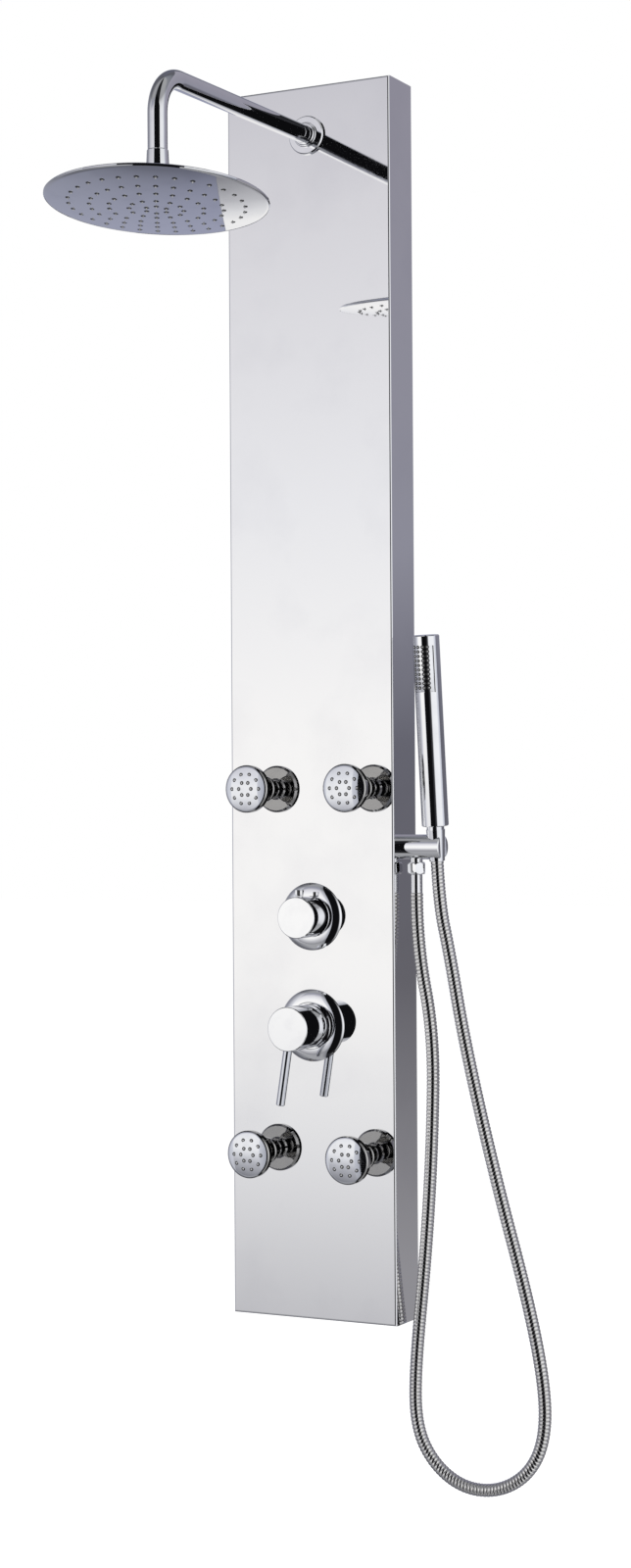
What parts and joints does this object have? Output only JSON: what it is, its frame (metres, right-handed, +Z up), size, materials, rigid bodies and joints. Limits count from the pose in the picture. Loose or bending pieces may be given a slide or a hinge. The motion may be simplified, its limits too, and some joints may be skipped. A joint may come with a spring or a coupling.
{
  "type": "shower panel column",
  "caption": "Wall-hung mirror-polished shower panel with a swivelling rain head, body jets, diverter knob, lever mixer and a hand shower on a metal hose.",
  "frame": {"origin": "on the wall plane, half-way between the two upper wall screws", "axes": "+X to the right for someone who faces the panel, +Y into the wall, +Z up along the panel"},
  "size_m": [0.3767, 0.489, 1.531],
  "materials": {
    "mirror_steel": "mirror-polished stainless steel",
    "plain_steel": "mill-finish stainless steel",
    "chrome": "polished chrome plate",
    "brass": "as machined",
    "copper": "drawn copper pipe",
    "head_face": "mirror-polished plate",
    "hose_steel": "interlocked polished strip",
    "white_plastic": "moulded",
    "nozzle_rubber": "soft silicone",
    "seal_rubber": "matte"
  },
  "bodies": {
    "panel": {"front_tray": "mirror_steel", "wall_brackets": "plain_steel", "hanger_bars": "plain_steel", "shower_arm": "chrome", "arm_flange": "chrome", "arm_lock_nut": "brass", "arm_elbow": "brass", "swivel_collar": "chrome", "jet_lock_nuts": "brass", "jet_tees": "brass", "diverter_plate": "chrome", "diverter_valve": "brass", "mixer_plate": "chrome", "mixer_collar": "chrome", "mixer_valve": "brass", "riser_pipe": "copper", "link_pipe": "copper", "jet_pipes": "copper", "hand_shower_pipe": "copper", "holder_bar": "chrome", "holder_lock_nut": "brass", "hose_hex_nut": "chrome", "hose_lower_ferrule": "chrome", "shower_hose": "hose_steel", "jet_1_base": "chrome", "jet_2_base": "chrome", "jet_3_base": "chrome", "jet_4_base": "chrome"},
    "head_tilt_ring": {"head_seat_ring": "white_plastic"},
    "head_seal": {"head_seal_ring": "seal_rubber"},
    "rain_head": {"head_shell": "chrome", "head_socket_nut": "chrome", "head_face": "head_face", "head_nozzles": "nozzle_rubber"},
    "diverter_handle": {"diverter_spindle": "brass", "diverter_knob": "chrome"},
    "mixer_stem": {"mixer_spindle": "brass"},
    "mixer_handle": {"mixer_knob": "chrome", "mixer_lever": "chrome"},
    "hose_end": {"hose_upper_ferrule": "brass"},
    "handset": {"hose_cone_nut": "chrome", "handset_neck": "chrome", "handset_body": "chrome", "handset_cap": "chrome", "handset_face": "chrome", "handset_nozzles": "nozzle_rubber"},
    "jet_1_ring": {"jet_1_seat": "white_plastic"},
    "jet_1_spray": {"jet_1_head": "chrome", "jet_1_face": "chrome"},
    "jet_2_ring": {"jet_2_seat": "white_plastic"},
    "jet_2_spray": {"jet_2_head": "chrome", "jet_2_face": "chrome"},
    "jet_3_ring": {"jet_3_seat": "white_plastic"},
    "jet_3_spray": {"jet_3_head": "chrome", "jet_3_face": "chrome"},
    "jet_4_ring": {"jet_4_seat": "white_plastic"},
    "jet_4_spray": {"jet_4_head": "chrome", "jet_4_face": "chrome"}
  },
  "joints": [
    {"name": "head_tilt_front", "type": "hinge", "parent": "panel", "child": "head_tilt_ring", "pos_m": [0, -0.375, -0.057], "axis": [1, 0, 0], "range_deg": [-6.4, 17.6]},
    {"name": "head_tilt_side", "type": "hinge", "parent": "head_tilt_ring", "child": "head_seal", "pos_m": [0, -0.375, -0.057], "axis": [0, 1, 0], "range_deg": [-12, 12]},
    {"name": "head_spin", "type": "hinge", "parent": "head_seal", "child": "rain_head", "pos_m": [0, -0.375, -0.057], "axis": [0, 0.0976, 0.9952], "continuous": true},
    {"name": "diverter_turn", "type": "hinge", "parent": "panel", "child": "diverter_handle", "pos_m": [0, -0.055, -0.8], "axis": [0, -1, 0], "range_deg": [-60, 60]},
    {"name": "mixer_turn", "type": "hinge", "parent": "panel", "child": "mixer_stem", "pos_m": [0, -0.055, -0.919], "axis": [0, -1, 0], "range_deg": [-41, 59]},
    {"name": "mixer_lift", "type": "hinge", "parent": "mixer_stem", "child": "mixer_handle", "pos_m": [0, -0.081, -0.919], "axis": [-0.9877, 0, 0.1564], "range_deg": [0, 20]},
    {"name": "handset_lift", "type": "slide", "parent": "panel", "child": "hose_end", "axis": [0, -0.1045, 0.9945], "range_m": [0, 0.06]},
    {"name": "handset_spin", "type": "hinge", "parent": "hose_end", "child": "handset", "pos_m": [0.138, -0.0275, -0.724], "axis": [0, -0.1045, 0.9945], "continuous": true},
    {"name": "jet_1_pitch", "type": "hinge", "parent": "panel", "child": "jet_1_ring", "pos_m": [-0.06, -0.077, -0.66], "axis": [1, 0, 0], "range_deg": [-12, 12]},
    {"name": "jet_1_yaw", "type": "hinge", "parent": "jet_1_ring", "child": "jet_1_spray", "pos_m": [-0.06, -0.077, -0.66], "axis": [0, 0, 1], "range_deg": [-12, 12]},
    {"name": "jet_2_pitch", "type": "hinge", "parent": "panel", "child": "jet_2_ring", "pos_m": [0.06, -0.077, -0.66], "axis": [1, 0, 0], "range_deg": [-12, 12]},
    {"name": "jet_2_yaw", "type": "hinge", "parent": "jet_2_ring", "child": "jet_2_spray", "pos_m": [0.06, -0.077, -0.66], "axis": [0, 0, 1], "range_deg": [-12, 12]},
    {"name": "jet_3_pitch", "type": "hinge", "parent": "panel", "child": "jet_3_ring", "pos_m": [-0.06, -0.077, -1.059], "axis": [1, 0, 0], "range_deg": [-12, 12]},
    {"name": "jet_3_yaw", "type": "hinge", "parent": "jet_3_ring", "child": "jet_3_spray", "pos_m": [-0.06, -0.077, -1.059], "axis": [0, 0, 1], "range_deg": [-12, 12]},
    {"name": "jet_4_pitch", "type": "hinge", "parent": "panel", "child": "jet_4_ring", "pos_m": [0.06, -0.077, -1.059], "axis": [1, 0, 0], "range_deg": [-12, 12]},
    {"name": "jet_4_yaw", "type": "hinge", "parent": "jet_4_ring", "child": "jet_4_spray", "pos_m": [0.06, -0.077, -1.059], "axis": [0, 0, 1], "range_deg": [-12, 12]}
  ]
}
